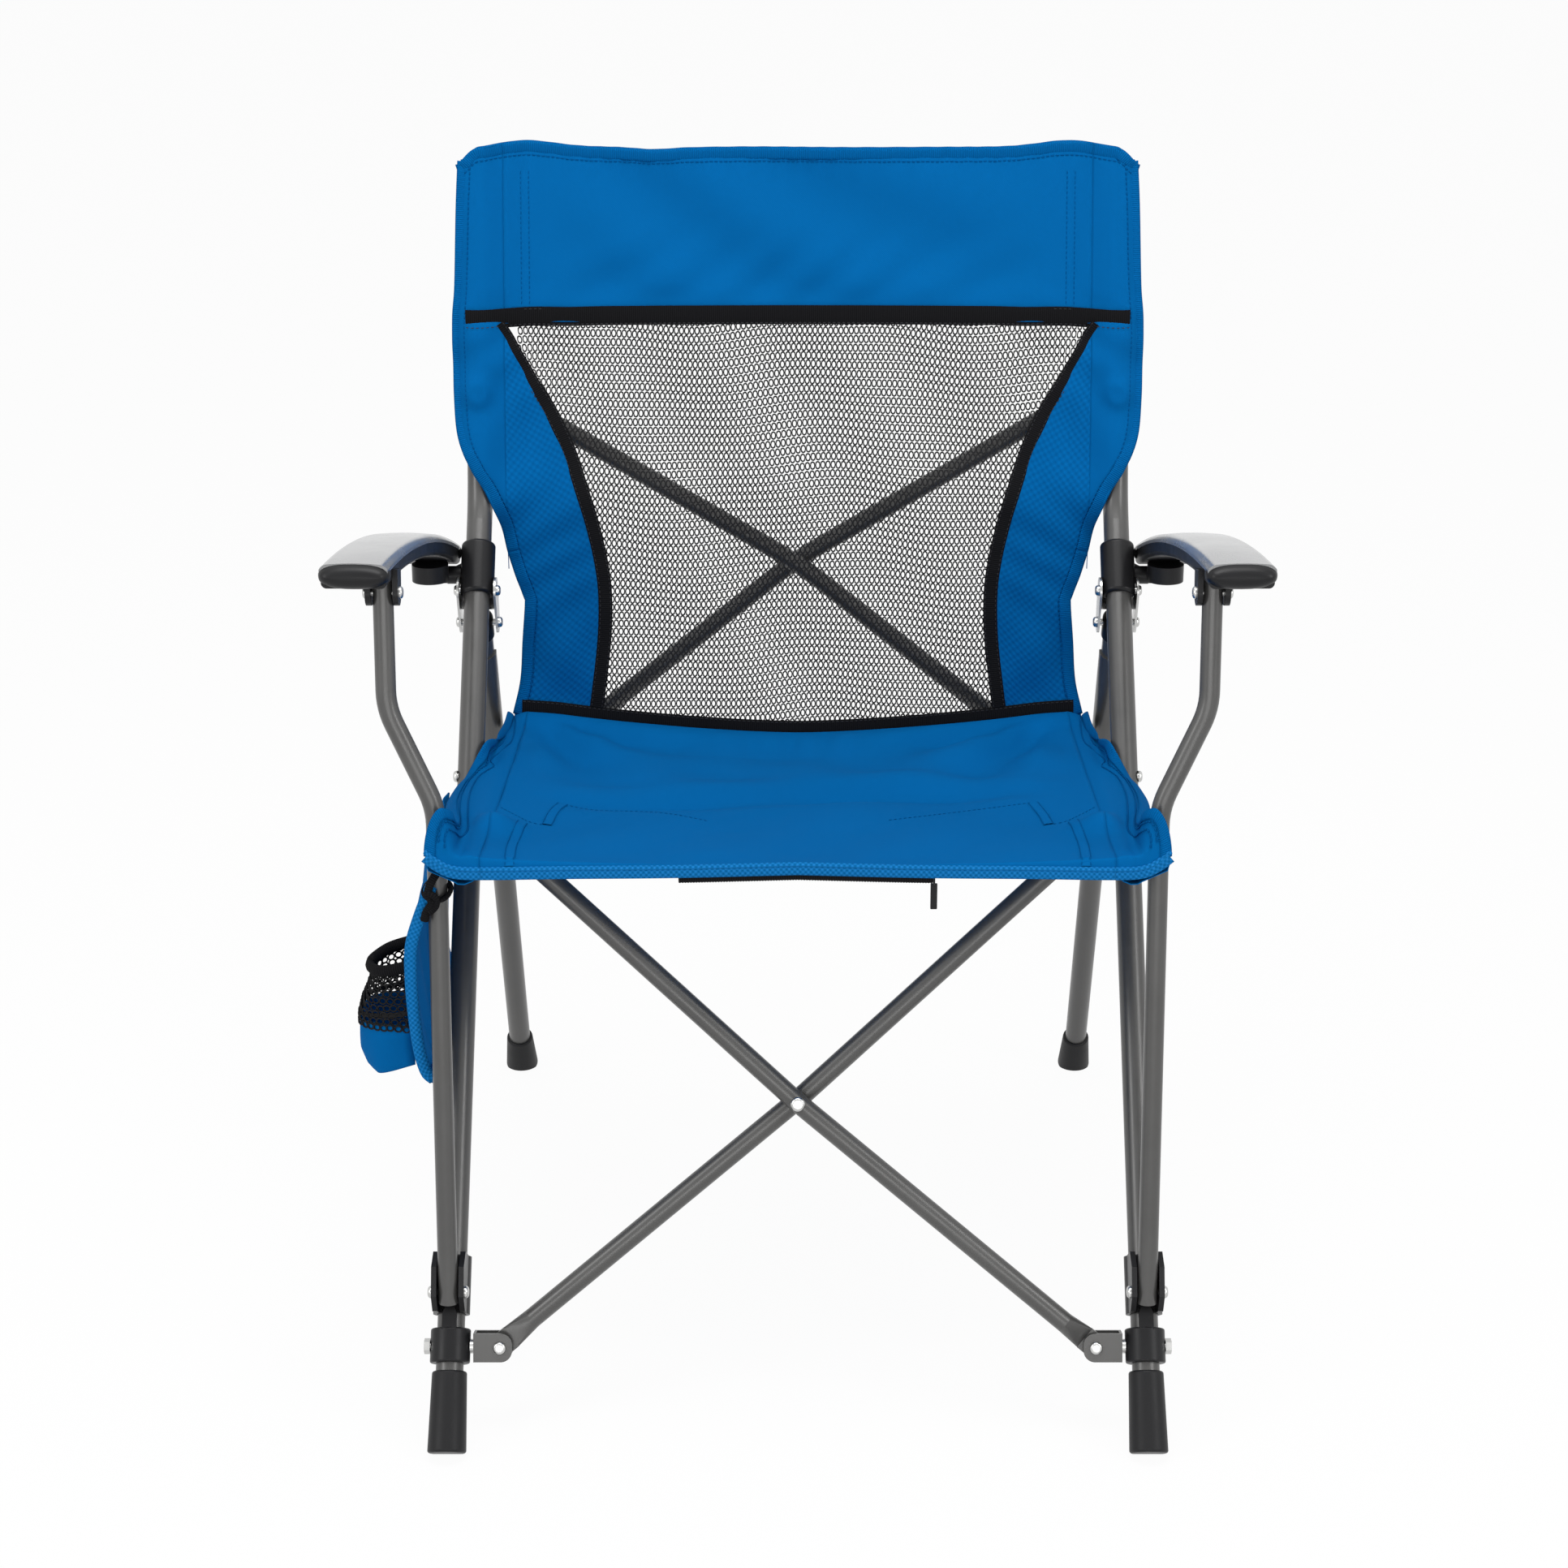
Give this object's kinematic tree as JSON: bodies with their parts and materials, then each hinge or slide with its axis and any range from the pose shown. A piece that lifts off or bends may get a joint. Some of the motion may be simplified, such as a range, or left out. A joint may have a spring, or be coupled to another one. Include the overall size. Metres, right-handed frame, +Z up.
{
  "type": "folding camp chair",
  "caption": "Folding camp chair with leaning tube frame, front and rear scissor braces, blue cloth seat and mesh back, arched armrests and a side organizer.",
  "frame": {"origin": "middle of the overall box on the ground", "axes": "+Z up, the chair faces -Y, the sitter's left side is +X"},
  "size_m": [0.68, 0.7256, 0.8973],
  "materials": {
    "frame_paint": "satin grey powder coat",
    "zinc": "bright zinc plate",
    "black_plastic": "satin",
    "black_rubber": "matte",
    "armrest_grey": "smooth, slightly glossy",
    "blue_cloth": "coated woven polyester",
    "black_mesh": "knitted mesh",
    "black_webbing": "woven tape"
  },
  "bodies": {
    "right_post": {"right_back_post": "frame_paint", "right_front_foot": "black_rubber", "right_lower_collar": "black_plastic", "right_collar_bolt": "zinc", "right_upper_collar": "black_plastic", "right_leg_bracket": "zinc", "right_post_rivets": "zinc", "organizer_panel": "blue_cloth", "cup_pocket": "black_mesh", "organizer_strap": "black_webbing", "back_fabric": "blue_cloth", "back_mesh": "black_mesh"},
    "right_clevis": {"right_x_clevis": "frame_paint", "right_clevis_rivet": "zinc"},
    "front_x_right": {"front_x_tube_right": "frame_paint", "front_x_end_rivet_right": "zinc"},
    "front_x_left": {"front_x_tube_left": "frame_paint", "front_x_rivet": "zinc", "front_x_end_rivet_left": "zinc"},
    "left_clevis": {"left_x_clevis": "frame_paint", "left_clevis_rivet": "zinc"},
    "left_post": {"left_back_post": "frame_paint", "left_front_foot": "black_rubber", "left_lower_collar": "black_plastic", "left_collar_bolt": "zinc", "left_upper_collar": "black_plastic", "left_leg_bracket": "zinc", "left_post_rivets": "zinc"},
    "rear_x_right": {"rear_x_tube_right": "frame_paint"},
    "rear_x_left": {"rear_x_tube_left": "frame_paint", "rear_x_rivet": "zinc"},
    "right_slider": {"right_lock_slider": "black_plastic", "right_slider_rivets": "zinc"},
    "right_armrest": {"right_armrest_top": "armrest_grey", "right_armrest_base": "black_plastic", "right_armrest_caps": "black_plastic", "right_armrest_pins": "zinc"},
    "right_arm_post": {"right_arm_post": "frame_paint"},
    "right_rail": {"right_seat_rail": "frame_paint", "seat_fabric": "blue_cloth"},
    "right_leg": {"right_rear_leg": "frame_paint", "right_leg_cap": "black_plastic", "right_leg_stay": "frame_paint", "right_stay_bolt": "zinc", "right_rear_foot": "black_rubber"},
    "left_slider": {"left_lock_slider": "black_plastic", "left_slider_rivets": "zinc"},
    "left_armrest": {"left_armrest_top": "armrest_grey", "left_armrest_base": "black_plastic", "left_armrest_caps": "black_plastic", "left_armrest_pins": "zinc"},
    "left_arm_post": {"left_arm_post": "frame_paint"},
    "left_rail": {"left_seat_rail": "frame_paint"},
    "left_leg": {"left_rear_leg": "frame_paint", "left_leg_cap": "black_plastic", "left_leg_stay": "frame_paint", "left_stay_bolt": "zinc", "left_rear_foot": "black_rubber"},
    "zip_slider": {"zip_slider": "black_plastic"},
    "zip_pull": {"zip_pull": "black_plastic"}
  },
  "joints": [
    {"name": "right_swivel", "type": "hinge", "parent": "right_post", "child": "right_clevis", "pos_m": [-0.265, -0.30367, 0.06788], "axis": [-1, 0, 0], "range_deg": [0, 10.3]},
    {"name": "fold", "type": "hinge", "parent": "right_clevis", "child": "front_x_right", "pos_m": [-0.227, -0.30367, 0.06788], "axis": [0, -0.9553, 0.2957], "range_deg": [0, 44], "deforming": ["seat_fabric", "back_fabric", "back_mesh", "organizer_strap"]},
    {"name": "front_x_cross", "type": "hinge", "parent": "front_x_right", "child": "front_x_left", "pos_m": [0, -0.24808, 0.24748], "axis": [0, -0.9553, 0.2957], "range_deg": [-88, 0]},
    {"name": "left_x_low", "type": "hinge", "parent": "front_x_left", "child": "left_clevis", "pos_m": [0.227, -0.30367, 0.06788], "axis": [0, -0.9553, 0.2957], "range_deg": [0, 44]},
    {"name": "left_swivel", "type": "hinge", "parent": "left_clevis", "child": "left_post", "pos_m": [0.265, -0.30367, 0.06788], "axis": [-1, 0, 0], "range_deg": [-10.3, 0]},
    {"name": "right_slide", "type": "slide", "parent": "right_post", "child": "right_slider", "axis": [0, 0.6018, 0.7986], "range_m": [0, 0.316]},
    {"name": "right_armrest_hinge", "type": "hinge", "parent": "right_post", "child": "right_armrest", "pos_m": [-0.265, 0.08539, 0.56956], "axis": [-1, 0, 0], "range_deg": [0, 63.8]},
    {"name": "right_arm_post_hinge", "type": "hinge", "parent": "right_armrest", "child": "right_arm_post", "pos_m": [-0.299, -0.23129, 0.64366], "axis": [-1, 0, 0], "range_deg": [-58, 0]},
    {"name": "right_rail_hinge", "type": "hinge", "parent": "right_post", "child": "right_rail", "pos_m": [-0.2455, -0.03092, 0.43283], "axis": [-1, 0, 0], "range_deg": [0, 86]},
    {"name": "right_leg_hinge", "type": "hinge", "parent": "right_post", "child": "right_leg", "pos_m": [-0.265, 0.07638, 0.53152], "axis": [-1, 0, 0], "range_deg": [0, 61]},
    {"name": "rear_x_right_hinge", "type": "hinge", "parent": "right_post", "child": "rear_x_right", "pos_m": [-0.265, 0.16617, 0.717], "axis": [0, 1, 0], "range_deg": [0, 46]},
    {"name": "left_slide", "type": "slide", "parent": "left_post", "child": "left_slider", "axis": [0, 0.6018, 0.7986], "range_m": [0, 0.316]},
    {"name": "left_armrest_hinge", "type": "hinge", "parent": "left_post", "child": "left_armrest", "pos_m": [0.265, 0.08539, 0.56956], "axis": [-1, 0, 0], "range_deg": [0, 63.8]},
    {"name": "left_arm_post_hinge", "type": "hinge", "parent": "left_armrest", "child": "left_arm_post", "pos_m": [0.299, -0.23129, 0.64366], "axis": [-1, 0, 0], "range_deg": [-58, 0]},
    {"name": "left_rail_hinge", "type": "hinge", "parent": "left_post", "child": "left_rail", "pos_m": [0.2455, -0.03092, 0.43283], "axis": [-1, 0, 0], "range_deg": [0, 86]},
    {"name": "left_leg_hinge", "type": "hinge", "parent": "left_post", "child": "left_leg", "pos_m": [0.265, 0.07638, 0.53152], "axis": [-1, 0, 0], "range_deg": [0, 61]},
    {"name": "rear_x_left_hinge", "type": "hinge", "parent": "left_post", "child": "rear_x_left", "pos_m": [0.265, 0.16617, 0.717], "axis": [0, -1, 0], "range_deg": [0, 46]},
    {"name": "zip_run", "type": "slide", "parent": "right_rail", "child": "zip_slider", "axis": [-1, 0, 0], "range_m": [0, 0.276]},
    {"name": "zip_pull_swing", "type": "hinge", "parent": "zip_slider", "child": "zip_pull", "pos_m": [0.1, -0.26451, 0.4372], "axis": [1, 0, 0], "range_deg": [-75, 75]}
  ],
  "couplings": [
    {"joint": "right_swivel", "follows": "fold", "ratio": 0.23409},
    {"joint": "front_x_cross", "follows": "fold", "ratio": -2},
    {"joint": "left_x_low", "follows": "fold", "ratio": 1},
    {"joint": "left_swivel", "follows": "fold", "ratio": -0.23409},
    {"joint": "right_slide", "follows": "fold", "m_per_rad": 0.41149},
    {"joint": "right_armrest_hinge", "follows": "fold", "ratio": 1.45},
    {"joint": "right_arm_post_hinge", "follows": "fold", "ratio": -1.3182},
    {"joint": "right_rail_hinge", "follows": "fold", "ratio": 1.9545},
    {"joint": "right_leg_hinge", "follows": "fold", "ratio": 1.3864},
    {"joint": "rear_x_right_hinge", "follows": "fold", "ratio": 1.0455},
    {"joint": "left_slide", "follows": "fold", "m_per_rad": 0.41149},
    {"joint": "left_armrest_hinge", "follows": "fold", "ratio": 1.45},
    {"joint": "left_arm_post_hinge", "follows": "fold", "ratio": -1.3182},
    {"joint": "left_rail_hinge", "follows": "fold", "ratio": 1.9545},
    {"joint": "left_leg_hinge", "follows": "fold", "ratio": 1.3864},
    {"joint": "rear_x_left_hinge", "follows": "fold", "ratio": 1.0455},
    {"joint": "zip_run", "follows": "fold", "m_per_rad": 0.3594}
  ]
}
